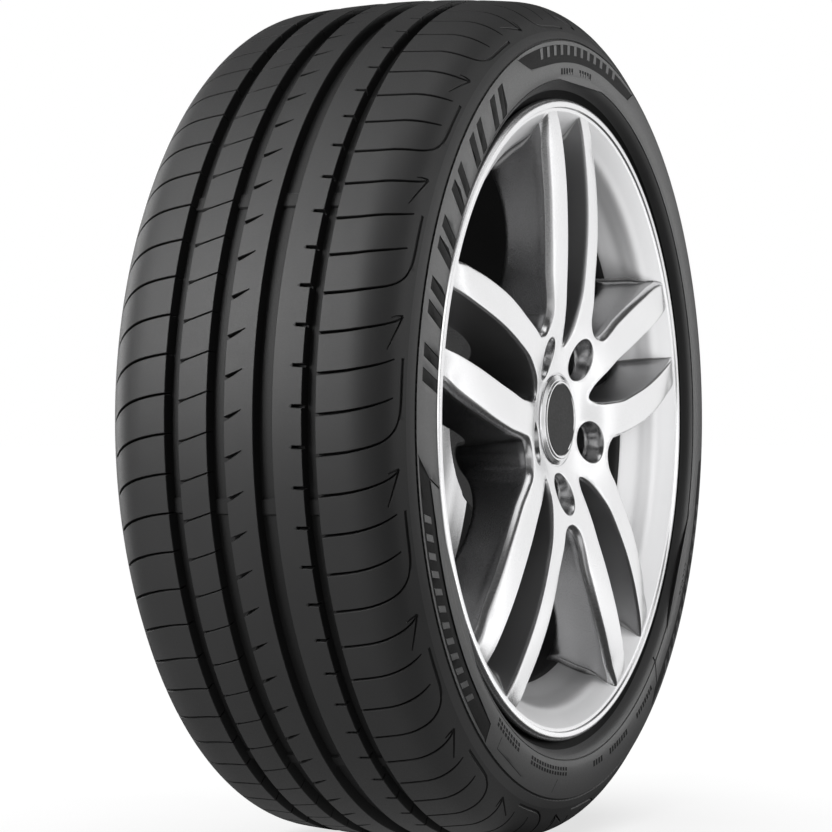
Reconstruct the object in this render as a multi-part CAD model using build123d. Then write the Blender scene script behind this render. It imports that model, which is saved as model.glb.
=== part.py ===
from build123d import *
import math
import os

os.makedirs("parts", exist_ok=True)

# Car wheel with its tyre fitted. Millimetres. The wheel turns about Y, its
# outer face looks towards -Y, +Z is up and the origin is the wheel's centre.

# ---- driving dimensions -------------------------------------------------
TYRE_R = 317.2            # tread radius at the centre line
CROWN_R = 733.3           # radius of the tread's crown across the width
CROWN_HALF = 79.56        # half width of the crown before the shoulder turns
SHOULDER_R = 37.82        # shoulder radius
SHOULDER_END = 1.0        # angle where the shoulder hands over to the sidewall
RING_R, RING_HALF = 282.9, 115.6   # ring groove round the upper sidewall
GROOVE_DEPTH = 8.0
GROOVE_DRAFT = math.tan(math.radians(7))
GROOVES = [(47.5, 58.5), (11.6, 24.8), (-24.8, -10.7), (-56.6, -46.8)]

SEAT_R = 218.3            # bead seat radius of a 17 inch rim
RIM_HALF = 101.6          # half of the 8 inch width between the flanges
LIP_R, LIP_HALF = 239.9, 112.7
SEAT_TAPER = math.tan(math.radians(5))

PAIR_0 = 18.0             # first twin spoke, degrees from +X seen from outside
PAIRS = 5
PCD_R = 56.0
LUG_HOLE_R, LUG_STEP_R, LUG_WELL_R = 7.5, 12.6, 15.3
BORE_R = 33.3
HUB_FACE_Y = -45.0        # mounting face, 45 mm outboard of the centre plane
SEAT_Y = -60.0            # floor of the bolt wells
STEP_Y = -98.5            # step inside the bolt wells
CAP_R, CAP_BORE_R = 34.0, 30.0
DISC_R = 26.5

VALVE_AT = 162.0          # valve stands between two spokes of one pair
VALVE_BASE = (203.85, -59.1)        # radius and y of the middle of the wall
VALVE_DIR = (-0.824, -0.567)        # radial and axial direction outwards


# ---- helpers --------------------------------------------------------------
def save(node, shape):
    export_step(shape, "parts/%s.step" % node)


def turned(edges):
    """Solid of revolution about Y from edges drawn as (radius, y)."""
    flat = [part for e in edges for part in e.edges()]
    return revolve(make_face(Wire(flat)), axis=Axis.Y)


def lathe(points):
    """Solid of revolution about Z from a polygon of (radius, height)."""
    pts = [(r, 0, s) for r, s in points]
    return revolve(make_face(Polyline(*pts, close=True)), axis=Axis.Z)


def at(angle, u, v, y):
    """Point u along and v across the direction at that angle, seen from outside."""
    c, s = math.cos(math.radians(angle)), math.sin(math.radians(angle))
    return (u * c - v * s, y, u * s + v * c)


# ---- tyre -------------------------------------------------------------------
def crown(y):
    return TYRE_R - y * y / (2 * CROWN_R)


def shoulder_points():
    """(radius, |y|) from the crown's edge to the ring groove."""
    a0 = math.asin(CROWN_HALF / CROWN_R)
    cy = CROWN_HALF - SHOULDER_R * math.sin(a0)
    cr = crown(CROWN_HALF) - SHOULDER_R * math.cos(a0)
    out = []
    for i in range(1, 9):
        t = a0 + (SHOULDER_END - a0) * i / 8
        out.append((cr + SHOULDER_R * math.cos(t), cy + SHOULDER_R * math.sin(t)))
    return out


# Sidewall below the ring: rim guard, and the hollow behind the rim's lip.
SIDEWALL = [(290.4, 110.95), (286.0, 113.9), (RING_R, 115.6), (276.0, 117.4), (269.0, 118.6),
            (262.0, 119.2), (256.5, 118.9), (251.5, 117.2), (248.6, 114.4),
            (246.0, 110.2), (243.2, 106.4), (239.8, 103.4), (236.4, 101.95)]
BEAD_D = (233.0, RIM_HALF)
BEAD_C = (224.8, RIM_HALF)
BEAD_M = (219.62, 99.72)
BEAD_B = (SEAT_R - (RIM_HALF - 95.1) * SEAT_TAPER, 95.1)
BEAD_A = (SEAT_R - (RIM_HALF - 82.0) * SEAT_TAPER, 82.0)
# Inside of the casing from the bead's toe to the centre line.
CASING = [(219.6, 80.9), (226.0, 84.6), (233.5, 91.4), (241.0, 98.6), (249.0, 105.0),
          (258.0, 109.0), (268.0, 109.6), (278.0, 105.8), (287.5, 97.0),
          (294.0, 83.0), (297.6, 62.0), (299.5, 32.0), (300.2, 0.0)]


def tyre():
    edges = []
    # tread from the inner side (+y) to the outer side (-y)
    marks = [CROWN_HALF]
    for hi_lo in GROOVES:
        marks += [hi_lo[1], hi_lo[0]]
    marks.append(-CROWN_HALF)
    for i in range(0, len(marks), 2):
        a, b = marks[i], marks[i + 1]
        edges.append(ThreePointArc((crown(a), a), (crown((a + b) / 2), (a + b) / 2),
                                   (crown(b), b)))
        if i + 2 < len(marks):
            c = marks[i + 2]
            d = GROOVE_DEPTH * GROOVE_DRAFT
            pts = [(crown(b), b), (crown(b) - GROOVE_DEPTH, b - d),
                   (crown(c) - GROOVE_DEPTH, c + d), (crown(c), c)]
            edges += [Line(pts[k], pts[k + 1]) for k in range(3)]
    for s in (1, -1):
        wall = [(crown(CROWN_HALF), CROWN_HALF)] + shoulder_points() + SIDEWALL + [BEAD_D]
        edges.append(Spline(*[(r, s * y) for r, y in wall]))
        edges.append(Line((BEAD_D[0], s * BEAD_D[1]), (BEAD_C[0], s * BEAD_C[1])))
        edges.append(ThreePointArc((BEAD_C[0], s * BEAD_C[1]), (BEAD_M[0], s * BEAD_M[1]),
                                   (BEAD_B[0], s * BEAD_B[1])))
        edges.append(Line((BEAD_B[0], s * BEAD_B[1]), (BEAD_A[0], s * BEAD_A[1])))
        edges.append(Line((BEAD_A[0], s * BEAD_A[1]), (CASING[0][0], s * CASING[0][1])))
    inside = [(r, y) for r, y in CASING] + [(r, -y) for r, y in reversed(CASING[:-1])]
    edges.append(Spline(*inside))
    body = turned(edges)
    # thin ring groove round the upper sidewall
    ring = turned(Polyline((RING_R - 0.6, -117.5), (RING_R + 0.6, -117.2),
                           (RING_R + 0.6, -114.9), (RING_R - 0.6, -115.2), close=True).edges())
    return body - ring


# ---- alloy wheel ------------------------------------------------------------
# Both sides of the rim, as (radius, |y|), from the outer lip to the drop centre.
HUMP = [(217.5, 79.2), (215.6, 76.0)]
WELL_OUT = [(211.0, 66.0), (200.0, 50.0), (197.0, 43.0), (196.0, 36.0)]
WELL_REAR = [(196.0, -6.0), (200.5, -24.0), (209.0, -58.0), (214.6, -75.5)]
INNER_FRONT = [(233.2, 112.7), (232.7, 111.6), (231.0, 111.2), (226.0, 107.6),
               (215.3, 99.4), (207.6, 87.2), (199.6, 76.8), (197.2, 73.0), (195.9, 68.0),
               (195.2, 58.0), (194.0, 48.0), (191.2, 36.0)]
INNER_REAR = [(191.2, -6.0), (196.0, -24.0), (204.5, -58.0), (210.0, -76.0),
              (212.4, -96.0), (215.5, -101.5), (222.0, -108.5), (226.0, -112.7)]


def rim():
    e = []

    def pts(*p):
        return [(r, -y) for r, y in p]

    # outer flange: seat, heel, flange wall, rounded lip
    e.append(Line(*pts(BEAD_A, BEAD_B)))
    e.append(ThreePointArc(*pts(BEAD_B, BEAD_M, BEAD_C)))
    e.append(Line(*pts(BEAD_C, BEAD_D)))
    e.append(ThreePointArc(*pts(BEAD_D, (238.1, 104.0), (LIP_R, 108.2))))
    e.append(ThreePointArc(*pts((LIP_R, 108.2), (239.0, 111.3), (236.6, LIP_HALF))))
    e.append(Polyline(*pts((236.6, LIP_HALF), *INNER_FRONT)))
    e.append(Line(*pts(INNER_FRONT[-1], INNER_REAR[0])))
    e.append(Polyline(*pts(*INNER_REAR)))
    # rear flange
    rear = [(226.0, 112.7), (236.0, LIP_HALF), (LIP_R - 1.0, 108.4), BEAD_D, BEAD_C, BEAD_B, BEAD_A]

    def rp(*p):
        return [(r, y) for r, y in p]

    e.append(Line(*rp(rear[0], rear[1])))
    e.append(ThreePointArc(*rp(rear[1], (238.2, 111.2), rear[2])))
    e.append(ThreePointArc(*rp(rear[2], (237.2, 104.0), rear[3])))
    e.append(Line(*rp(rear[3], rear[4])))
    e.append(ThreePointArc(*rp(rear[4], BEAD_M, rear[5])))
    e.append(Line(*rp(rear[5], rear[6])))
    # rear hump, slope, drop centre, outer slope, outer hump
    e.append(Polyline((BEAD_A[0], 82.0), (217.5, 79.2), (214.6, 75.5), (209.0, 58.0),
                      (200.5, 24.0), (196.0, 6.0), (196.0, -36.0), (197.0, -43.0),
                      (200.0, -50.0), (211.0, -66.0), (215.6, -76.0), (217.5, -79.2),
                      (BEAD_A[0], -82.0)))
    return turned(e)


FACE = [(36.0, -102.0), (41.0, -102.9), (48.0, -104.9), (57.0, -107.9), (70.0, -111.9),
        (85.0, -115.0), (100.0, -117.0), (125.0, -118.7), (150.0, -119.2),
        (175.0, -118.5), (200.0, -116.4), (215.0, -114.4), (226.0, -112.0), (231.5, -110.5)]
BACK = [(204.0, -60.0), (190.0, -70.0), (172.0, -78.0), (150.0, -82.0), (125.0, -80.0),
        (102.0, -70.0), (86.0, -56.0), (76.0, -47.5)]


def disc():
    e = [Line((0, HUB_FACE_Y), (0, FACE[0][1])), Line((0, FACE[0][1]), FACE[0]), Spline(*FACE),
         Polyline(FACE[-1], (217.5, -102.3), (214.2, -94.0), (211.6, -80.0), (207.8, -65.0),
                  BACK[0]),
         Spline(*BACK), Line(BACK[-1], (72.0, HUB_FACE_Y)), Line((72.0, HUB_FACE_Y), (0, HUB_FACE_Y))]
    return turned(e)


# Half outline of the wide window between two pairs: along and across its axis.
WIDE = [(82.5, 0.0), (86.5, 10.5), (98.4, 17.7), (116.8, 27.4), (143.5, 43.7),
        (164.8, 58.9), (185.5, 74.8), (209.1, 95.7), (230.0, 115.5)]
# Half outline of the narrow window between the two spokes of a pair.
SLIM = [(56.0, 0.0), (61.8, 5.2), (69.5, 8.5), (84.2, 12.4), (98.7, 15.8), (118.8, 17.6),
        (148.7, 19.5), (199.0, 20.3), (229.0, 21.0), (250.0, 21.5)]


def inset(half, d):
    """Whole outline from the mirrored half, moved inwards by d (less at the root)."""
    full = [(u, v) for u, v in reversed(half)] + [(u, -v) for u, v in half[1:]]
    n, out = len(full), []
    for i, (u, v) in enumerate(full):
        a, b = full[max(i - 1, 0)], full[min(i + 1, n - 1)]
        tx, ty = b[0] - a[0], b[1] - a[1]
        k = math.hypot(tx, ty)
        near = min(1.0, 0.45 + abs(v) / 30.0)
        out.append((u - ty / k * d * near, v + tx / k * d * near))
    return out


def window(half, angle, draft, y0=-128.0, y1=-36.0):
    wires = []
    for y, d in ((y0, 0.0), (y1, draft)):
        p = [at(angle, u, v, y) for u, v in inset(half, d)]
        wires.append(Wire([Spline(*p), Line(p[-1], p[0])]))
    return Solid.make_loft(wires, True)


def valve_place():
    c, s = math.cos(math.radians(VALVE_AT)), math.sin(math.radians(VALVE_AT))
    r, y = VALVE_BASE
    d = (VALVE_DIR[0] * c, VALVE_DIR[1], VALVE_DIR[0] * s)
    return Location(Plane(origin=(r * c, y, r * s), x_dir=(-s, 0, c), z_dir=d))


def rod(r, y0, y1, x=0.0, z=0.0):
    """Round bar along Y between two heights."""
    a, b = min(y0, y1), max(y0, y1)
    return Location((x, (a + b) / 2, z)) * (Rot(X=90) * Cylinder(r, b - a))


def alloy_wheel():
    plate = disc()
    cuts = []
    for i in range(PAIRS):
        cuts.append(window(SLIM, PAIR_0 + 72 * i, 4.0))
        cuts.append(window(WIDE, PAIR_0 + 36 + 72 * i, 7.0))
    for c in cuts:
        plate = plate - c
    # cap seat, its snap groove, and the hub's own bore from behind
    plate = plate - rod(CAP_BORE_R, -130, -40)
    plate = plate - rod(32.0, -91.0, -84.0)
    plate = plate - rod(BORE_R, -70.0, -40.0)
    plate = plate - rod(CAP_R + 1.0, -130, -101.45)
    for i in range(PAIRS):
        x, _, z = at(PAIR_0 + 36 + 72 * i, PCD_R, 0, 0)
        # stepped well: a wide mouth for the socket, then a closer bore to the seat
        well = rod(LUG_WELL_R, -130, STEP_Y, x, z) + rod(LUG_STEP_R, -130, SEAT_Y, x, z)
        hole = rod(LUG_HOLE_R, -130, -40, x, z)
        cone = Location((x, 0, z)) * turned(
            Polyline((0, SEAT_Y - 0.01), (11.5, SEAT_Y - 0.01), (LUG_HOLE_R, SEAT_Y + 6.9),
                     (0, SEAT_Y + 6.9), close=True).edges())
        plate = plate - well - hole - cone
        # relief pocket between the bolt bosses, behind the hub
        x, _, z = at(PAIR_0 + 72 * i, 54.0, 0, 0)
        plate = plate - rod(9.0, -58.0, -40.0, x, z)
    wheel = rim() + plate
    # valve hole with a flat spot on both sides of the wall
    place = valve_place()
    wheel = wheel - place * (Location((0, 0, 12.4)) * Cylinder(10.5, 21.0))
    wheel = wheel - place * (Location((0, 0, -8.9)) * Cylinder(11.5, 14.0))
    wheel = wheel - place * Cylinder(5.75, 30.0)
    return wheel


# ---- centre cap -------------------------------------------------------------
def centre_cap():
    # ring face, floor under the disc and a skirt that reaches into the hub
    y0 = -101.5
    edges = Polyline((0, y0), (27.2, y0), (27.2, -84.6), (29.4, -84.6), (29.4, y0),
                     (CAP_R, y0), (CAP_R, -102.3), (33.6, -102.7), (30.5, -104.3), (30.0, -104.4),
                     (29.8, -103.8), (29.4, -103.8), (29.2, -105.0), (28.7, -105.3), (27.6, -105.3),
                     (27.1, -105.0), (DISC_R + 0.2, -104.4), (DISC_R + 0.2, -103.8), (0, -103.8),
                     close=True).edges()
    cap = turned(edges)
    for i in range(8):
        # slots that leave eight springy fingers
        cap = cap - (Rot(Y=45 * i) * (Location((28.3, -89.5, 0)) * Box(6.0, 12.0, 5.0)))
    for i in range(8):
        # catch on the end of each finger
        a = 22.5 + 45 * i
        lug = turned(Polyline((29.2, -84.6), (29.2, -89.6), (30.9, -87.2), (30.4, -84.6),
                              close=True).edges())
        keep = Rot(Y=a) * (Location((30.0, -87.0, 0)) * Box(10.0, 12.0, 12.0))
        cap = cap + (lug & keep)
    return cap


def cap_disc():
    return turned(Polyline((0, -103.85), (DISC_R, -103.85), (DISC_R, -104.6), (25.6, -104.9),
                           (0, -105.2), close=True).edges())


def cap_spring():
    """Open wire ring that pushes the cap's fingers outwards from inside."""
    return turned([Edge.make_circle(0.9, Plane((26.2, -88.0, 0), x_dir=(1, 0, 0), z_dir=(0, 0, 1)))]) \
        - (Location((26.2, -88.0, 0)) * Box(5.0, 4.0, 3.0))


# ---- tyre valve -------------------------------------------------------------
def valve_body():
    return lathe([(1.7, -13.0), (7.6, -13.0), (9.2, -9.6), (9.2, -4.2), (8.7, -1.95), (5.7, -1.95),
                  (5.7, 1.95), (7.7, 1.95), (7.9, 4.6), (6.9, 10.5), (6.2, 13.0), (5.6, 21.5),
                  (4.9, 23.4), (4.3, 24.0), (3.45, 24.0), (3.45, -7.0), (1.7, -7.0)])


def valve_stem():
    return lathe([(1.7, -6.95), (3.4, -6.95), (3.4, 24.05), (3.85, 24.4), (3.85, 32.4), (3.4, 33.0),
                  (2.6, 33.0), (2.6, 25.4), (2.35, 25.2), (2.35, 8.0), (1.7, 8.0)])


def valve_core():
    return lathe([(0.9, 16.0), (2.0, 16.0), (2.0, 25.5), (2.55, 25.5), (2.55, 31.4), (1.4, 31.4),
                  (1.4, 28.0), (0.85, 27.6), (0.85, 25.4), (1.45, 25.0), (1.45, 16.8), (0.9, 16.8)])


def valve_core_seal():
    return lathe([(2.02, 20.5), (2.26, 20.9), (2.3, 22.2), (2.26, 23.2), (2.02, 23.6)])


def valve_pin():
    return lathe([(0, 13.0), (1.2, 13.0), (1.55, 13.6), (1.55, 15.6), (0.6, 15.6), (0.6, 23.6),
                  (1.25, 23.6), (1.25, 24.2), (0.6, 24.2), (0.6, 31.6), (0.45, 32.0), (0, 32.0)])


def valve_spring():
    r, wire, low, turns, pitch = 1.02, 0.16, 17.05, 6, 1.0
    path = Location((0, 0, low)) * Helix(pitch, pitch * turns, r)
    section = Plane(origin=path @ 0, z_dir=path % 0) * Circle(wire)
    return sweep(section, path=path, is_frenet=True)


def valve_cap():
    return lathe([(3.93, 24.5), (4.75, 24.5), (4.95, 25.2), (4.95, 33.0), (4.5, 35.6), (3.0, 36.6),
                  (0, 36.8), (0, 34.2), (3.93, 34.2)])


def valve_cap_seal():
    return lathe([(0.9, 33.35), (3.6, 33.35), (3.6, 34.15), (0.9, 34.15)])


# ---- write the pieces ---------------------------------------------------------
save("tyre", tyre())
save("alloy_wheel", alloy_wheel())
save("centre_cap", centre_cap())
save("cap_disc", cap_disc())
save("cap_spring_ring", cap_spring())
PLACE = valve_place()
for name, make in (("valve_body", valve_body), ("valve_stem", valve_stem),
                   ("valve_core", valve_core), ("valve_core_seal", valve_core_seal),
                   ("valve_pin", valve_pin), ("valve_spring", valve_spring),
                   ("valve_cap", valve_cap), ("valve_cap_seal", valve_cap_seal)):
    save(name, PLACE * make())
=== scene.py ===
import math

import bmesh
import bpy
import numpy as np
from mathutils import Matrix, Vector
from mathutils.geometry import delaunay_2d_cdt


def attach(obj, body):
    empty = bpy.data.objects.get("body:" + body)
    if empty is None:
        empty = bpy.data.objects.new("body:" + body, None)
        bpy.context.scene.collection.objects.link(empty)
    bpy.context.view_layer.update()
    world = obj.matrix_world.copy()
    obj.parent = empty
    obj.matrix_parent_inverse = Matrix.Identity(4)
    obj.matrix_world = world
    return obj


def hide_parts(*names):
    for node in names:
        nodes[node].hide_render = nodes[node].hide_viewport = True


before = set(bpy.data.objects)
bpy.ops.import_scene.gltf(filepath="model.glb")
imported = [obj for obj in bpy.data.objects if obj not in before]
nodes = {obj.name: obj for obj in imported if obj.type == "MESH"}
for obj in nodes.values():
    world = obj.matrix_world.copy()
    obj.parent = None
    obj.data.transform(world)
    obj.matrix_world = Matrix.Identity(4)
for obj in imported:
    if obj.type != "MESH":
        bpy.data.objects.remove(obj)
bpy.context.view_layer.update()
scene = bpy.context.scene

# The wheel turns about Y and its outer face looks towards -Y. Mesh code works in
# millimetres and scales to metres when a mesh is made.
MM = 0.001


# ---- mesh helpers ------------------------------------------------------------
def make_mesh(name, verts, tris, mats, mat_index, sharp=32.0):
    """Mesh object from millimetre vertices and triangles, welded, with sharp edges by angle."""
    verts = np.asarray(verts, float)
    tris = np.asarray(tris, int)
    key = np.round(verts / 2e-3).astype(np.int64)
    _, first, inverse = np.unique(key, axis=0, return_index=True, return_inverse=True)
    inverse = inverse.reshape(-1)
    verts, tris = verts[first], inverse[tris]
    good = (tris[:, 0] != tris[:, 1]) & (tris[:, 1] != tris[:, 2]) & (tris[:, 0] != tris[:, 2])
    tris, mat_index = tris[good], np.asarray(mat_index, np.int32)[good]
    me = bpy.data.meshes.new(name)
    me.vertices.add(len(verts))
    me.vertices.foreach_set("co", (verts * MM).astype(np.float32).ravel())
    me.loops.add(len(tris) * 3)
    me.loops.foreach_set("vertex_index", tris.astype(np.int32).ravel())
    me.polygons.add(len(tris))
    me.polygons.foreach_set("loop_start", np.arange(0, len(tris) * 3, 3, dtype=np.int32))
    for m in mats:
        me.materials.append(m)
    me.polygons.foreach_set("material_index", mat_index)
    me.update(calc_edges=True)
    me.validate()
    bm = bmesh.new()
    bm.from_mesh(me)
    bmesh.ops.remove_doubles(bm, verts=[q for q in bm.verts if q.is_boundary], dist=4e-6)
    bmesh.ops.recalc_face_normals(bm, faces=bm.faces)
    bm.to_mesh(me)
    bm.free()
    me.shade_smooth()
    me.set_sharp_from_angle(angle=math.radians(sharp))
    ob = bpy.data.objects.new(name, me)
    scene.collection.objects.link(ob)
    return ob


class Patch:
    """Collects vertices, triangles and material numbers of one piece."""

    def __init__(self):
        self.v, self.t, self.m, self.n = [], [], [], 0

    def add(self, verts, tris, mat):
        tris = np.asarray(tris, int)
        self.v.append(np.asarray(verts, float))
        self.t.append(tris + self.n)
        self.m.append(np.broadcast_to(np.asarray(mat, np.int32), (len(tris),)))
        self.n += len(verts)

    def turned(self, rows, angles, mat):
        """Closed revolve of (radius, y) rows about Y; mat is one number or one for each band."""
        n, k = len(angles), len(rows)
        a = np.radians(angles)
        v = np.empty((k, n, 3))
        for i, (r, y) in enumerate(rows):
            v[i, :, 0], v[i, :, 1], v[i, :, 2] = -r * np.cos(a), y, r * np.sin(a)
        i, j = np.meshgrid(np.arange(k - 1), np.arange(n), indexing="ij")
        j2 = (j + 1) % n
        p, q, r_, s = i * n + j, i * n + j2, (i + 1) * n + j2, (i + 1) * n + j
        t = np.stack([np.stack([p, q, r_], -1), np.stack([p, r_, s], -1)], 2).reshape(-1, 3)
        if np.ndim(mat):
            mat = np.repeat(np.asarray(mat), 2 * n)
        self.add(v.reshape(-1, 3), t, mat)

    def make(self, name, mats, sharp=32.0):
        return make_mesh(name, np.concatenate(self.v), np.concatenate(self.t), mats,
                         np.concatenate(self.m), sharp)


def smooth_line(points, per=8):
    """Centripetal curve through the points."""
    p = [np.array(q, float) for q in points]
    p = [2 * p[0] - p[1]] + p + [2 * p[-1] - p[-2]]
    out = []
    for i in range(1, len(p) - 2):
        p0, p1, p2, p3 = p[i - 1:i + 3]
        t0 = 0.0
        t1 = t0 + np.linalg.norm(p1 - p0) ** 0.5
        t2 = t1 + np.linalg.norm(p2 - p1) ** 0.5
        t3 = t2 + np.linalg.norm(p3 - p2) ** 0.5
        for t in np.linspace(t1, t2, per, endpoint=False):
            a1 = (t1 - t) / (t1 - t0) * p0 + (t - t0) / (t1 - t0) * p1
            a2 = (t2 - t) / (t2 - t1) * p1 + (t - t1) / (t2 - t1) * p2
            a3 = (t3 - t) / (t3 - t2) * p2 + (t - t2) / (t3 - t2) * p3
            b1 = (t2 - t) / (t2 - t0) * a1 + (t - t0) / (t2 - t0) * a2
            b2 = (t3 - t) / (t3 - t1) * a2 + (t - t1) / (t3 - t1) * a3
            out.append((t2 - t) / (t2 - t1) * b1 + (t - t1) / (t2 - t1) * b2)
    out.append(p[-2])
    return np.array(out)


def triangulate(points, edges):
    """Constrained triangulation; returns points and counter-clockwise triangles."""
    vs, _, faces, _, _, _ = delaunay_2d_cdt([Vector((float(a), float(b))) for a, b in points],
                                           [tuple(e) for e in edges], [], 0, 1e-4)
    v = np.array([(p.x, p.y) for p in vs])
    f = np.array([list(q) for q in faces if len(q) == 3], int)
    a, b, c = v[f[:, 0]], v[f[:, 1]], v[f[:, 2]]
    area = (b[:, 0] - a[:, 0]) * (c[:, 1] - a[:, 1]) - (b[:, 1] - a[:, 1]) * (c[:, 0] - a[:, 0])
    f[area < 0] = f[area < 0][:, [0, 2, 1]]
    return v, f[np.abs(area) > 1e-7]


def line_distance(pts, line, value=None):
    """Distance of each point to a polyline, with the value interpolated along it."""
    best = np.full(len(pts), 1e9)
    out = np.zeros(len(pts))
    for i in range(len(line) - 1):
        a, b = np.array(line[i], float), np.array(line[i + 1], float)
        d = b - a
        u = np.clip(((pts - a) @ d) / max(d @ d, 1e-12), 0, 1)
        dist = np.linalg.norm(pts - (a + u[:, None] * d), axis=1)
        near = dist < best
        best[near] = dist[near]
        if value is not None:
            out[near] = (value[i] + (value[i + 1] - value[i]) * u)[near]
    return best, out


def strip_outline(line, half, grow):
    """Closed outline round a polyline, with its own half width at each point."""
    p = np.array(line, float)
    t = np.gradient(p, axis=0)
    t /= np.linalg.norm(t, axis=1)[:, None]
    n = np.c_[-t[:, 1], t[:, 0]]
    h = np.maximum(np.asarray(half, float) + grow, 0.06)[:, None]
    q = p.copy()
    q[0] -= t[0] * grow
    q[-1] += t[-1] * grow
    return np.concatenate([q + n * h, (q - n * h)[::-1]])


# ---- the tyre's section ----------------------------------------------------------
TYRE_R, CROWN_R, CROWN_HALF = 317.2, 733.3, 79.56
SHOULDER_R, SHOULDER_END = 37.82, 1.0
SIDEWALL = [(290.4, 110.95), (286.0, 113.9), (282.9, 115.6), (276.0, 117.4), (269.0, 118.6),
            (262.0, 119.2), (256.5, 118.9), (251.5, 117.2), (248.6, 114.4), (246.0, 110.2),
            (243.2, 106.4), (239.8, 103.4), (236.4, 101.95), (233.0, 101.6)]
BEAD = [(233.0, 101.6), (229.0, 101.6), (224.8, 101.6), (221.6, 101.0), (219.62, 99.72),
        (218.2, 97.6), (217.73, 95.1), (217.1, 88.0), (216.59, 82.0), (217.6, 80.9), (219.6, 80.9)]
CASING = [(219.6, 80.9), (226.0, 84.6), (233.5, 91.4), (241.0, 98.6), (249.0, 105.0), (258.0, 109.0),
          (268.0, 109.6), (278.0, 105.8), (287.5, 97.0), (294.0, 83.0), (297.6, 62.0), (299.5, 32.0),
          (300.2, 0.0)]


def section():
    """Half section (y, radius) from the centre line down to the bead, by arc length."""
    pts = [(y, TYRE_R - y * y / (2 * CROWN_R)) for y in np.linspace(0, CROWN_HALF, 60)]
    a0 = math.asin(CROWN_HALF / CROWN_R)
    cy = CROWN_HALF - SHOULDER_R * math.sin(a0)
    cr = pts[-1][1] - SHOULDER_R * math.cos(a0)
    arc = [(cy + SHOULDER_R * math.sin(t), cr + SHOULDER_R * math.cos(t))
           for t in np.linspace(a0, SHOULDER_END, 40)[1:]]
    pts += arc
    tail = smooth_line([arc[-6], arc[-1]] + [(y, r) for r, y in SIDEWALL], 12)[12:]
    pts += [tuple(q) for q in tail[1:]]
    p = np.array(pts)
    s = np.r_[0, np.cumsum(np.linalg.norm(np.diff(p, axis=0), axis=1))]
    fine = np.arange(0, s[-1], 0.25)
    y, r = np.interp(fine, s, p[:, 0]), np.interp(fine, s, p[:, 1])
    k = np.ones(9) / 9
    ty = np.convolve(np.gradient(np.pad(y, 8, mode="reflect", reflect_type="odd")), k, "same")[8:-8]
    tr = np.convolve(np.gradient(np.pad(r, 8, mode="reflect", reflect_type="odd")), k, "same")[8:-8]
    n = np.hypot(ty, tr)
    return fine, y, r, -tr / n, ty / n


S, SY, SR, NY, NR = section()
S_OF_R = lambda radius: float(np.interp(-radius, -SR, S))


def on_tyre(l, t, depth):
    """Point at arc length l across the tyre (+ is the inner side) and angle t from -X upwards."""
    l = np.asarray(l, float)
    s, g = np.abs(l), np.where(l >= 0, 1.0, -1.0)
    y = (np.interp(s, S, SY) - depth * np.interp(s, S, NY)) * g
    r = np.interp(s, S, SR) - depth * np.interp(s, S, NR)
    a = np.radians(t)
    return np.c_[-r * np.cos(a), y, r * np.sin(a)]


# ---- tread -------------------------------------------------------------------
K = 5.53                 # millimetres of tread to a degree
TILE = 40.0              # degrees after which the whole pattern repeats
EDGE_L = 121.0           # arc length where the tread hands over to the sidewalls
GROOVES = [(47.5, 58.5), (11.6, 24.8), (-24.8, -10.7), (-56.6, -46.8)]
GROOVE_DEPTH, CHAMFER, WALL = 8.0, 0.4, 1.0
PITCHES = [(10.68 - 5.0 * i, "ABCD"[i % 4]) for i in range(8)]
SEAM = [(121, 13.75), (118, 13.3), (100, 13.7), (58.5, 15.8), (47.7, 14.7), (24.8, 16.1), (11.7, 12.9),
        (-2, 13.8), (-10.7, 14), (-24.8, 14), (-37.8, 14.2), (-46.8, 14.2), (-56.6, 13.2), (-80, 13.8),
        (-100, 15), (-110, 16.2), (-118, 17), (-121, 17.5)]


def seam(l):
    return np.interp(-np.asarray(l, float), [-p[0] for p in SEAM], [p[1] for p in SEAM])


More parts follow.
